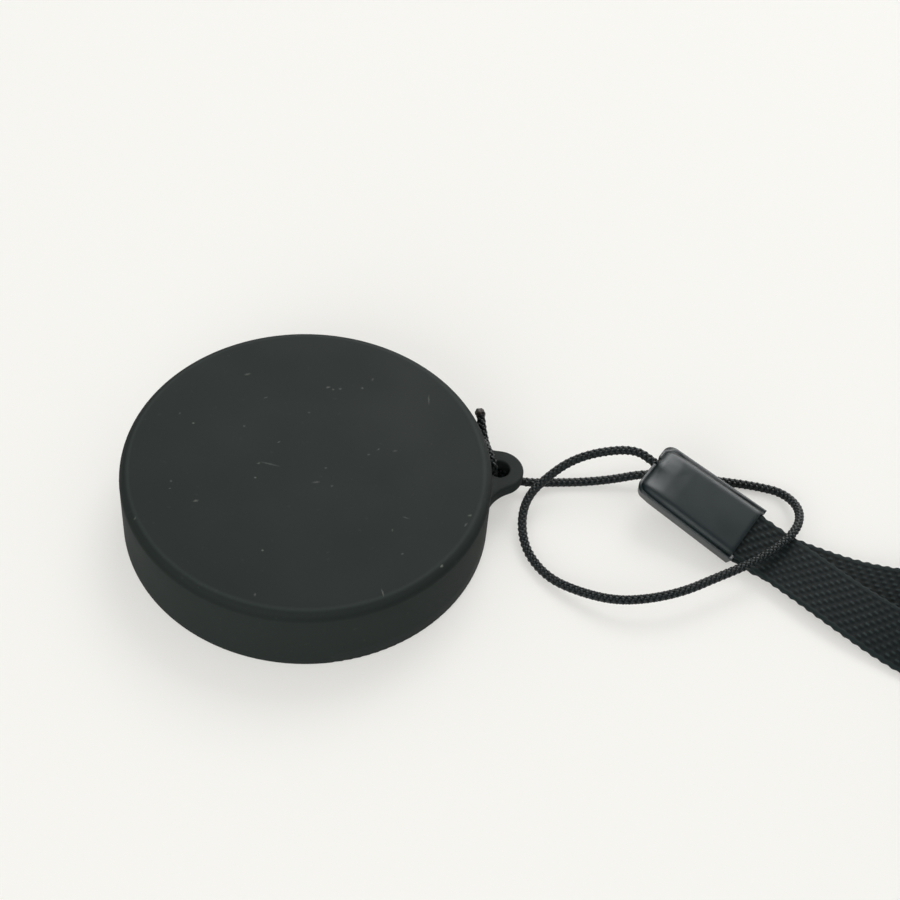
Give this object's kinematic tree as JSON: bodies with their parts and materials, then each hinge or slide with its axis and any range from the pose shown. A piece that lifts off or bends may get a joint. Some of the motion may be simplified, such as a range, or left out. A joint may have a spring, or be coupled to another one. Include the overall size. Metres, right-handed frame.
{
  "type": "camera lens cap",
  "caption": "Round slip-on lens cap of matte black rubber with a side lug, a braided tether cord, a small plastic clip and a flat woven wrist loop.",
  "frame": {"origin": "on the cap's axis, in the plane of its open rim, where the lens barrel enters", "axes": "+Z along the cap's axis towards the closed face, which is up as the cap lies on its rim; +X from the axis through the middle of the lug"},
  "size_m": [0.197, 0.1295, 0.0132],
  "materials": {
    "cap_rubber": "matte moulded rubber, slightly dusty",
    "braided_cord": "braided polyester",
    "clip_plastic": "smooth satin moulded plastic",
    "woven_webbing": "coarse pebbled weave"
  },
  "bodies": {
    "root": {"lens_cap": "cap_rubber", "tether_cord": "braided_cord", "clip_upper_shell": "clip_plastic", "clip_lower_shell": "clip_plastic", "wrist_strap": "woven_webbing"}
  },
  "joints": []
}
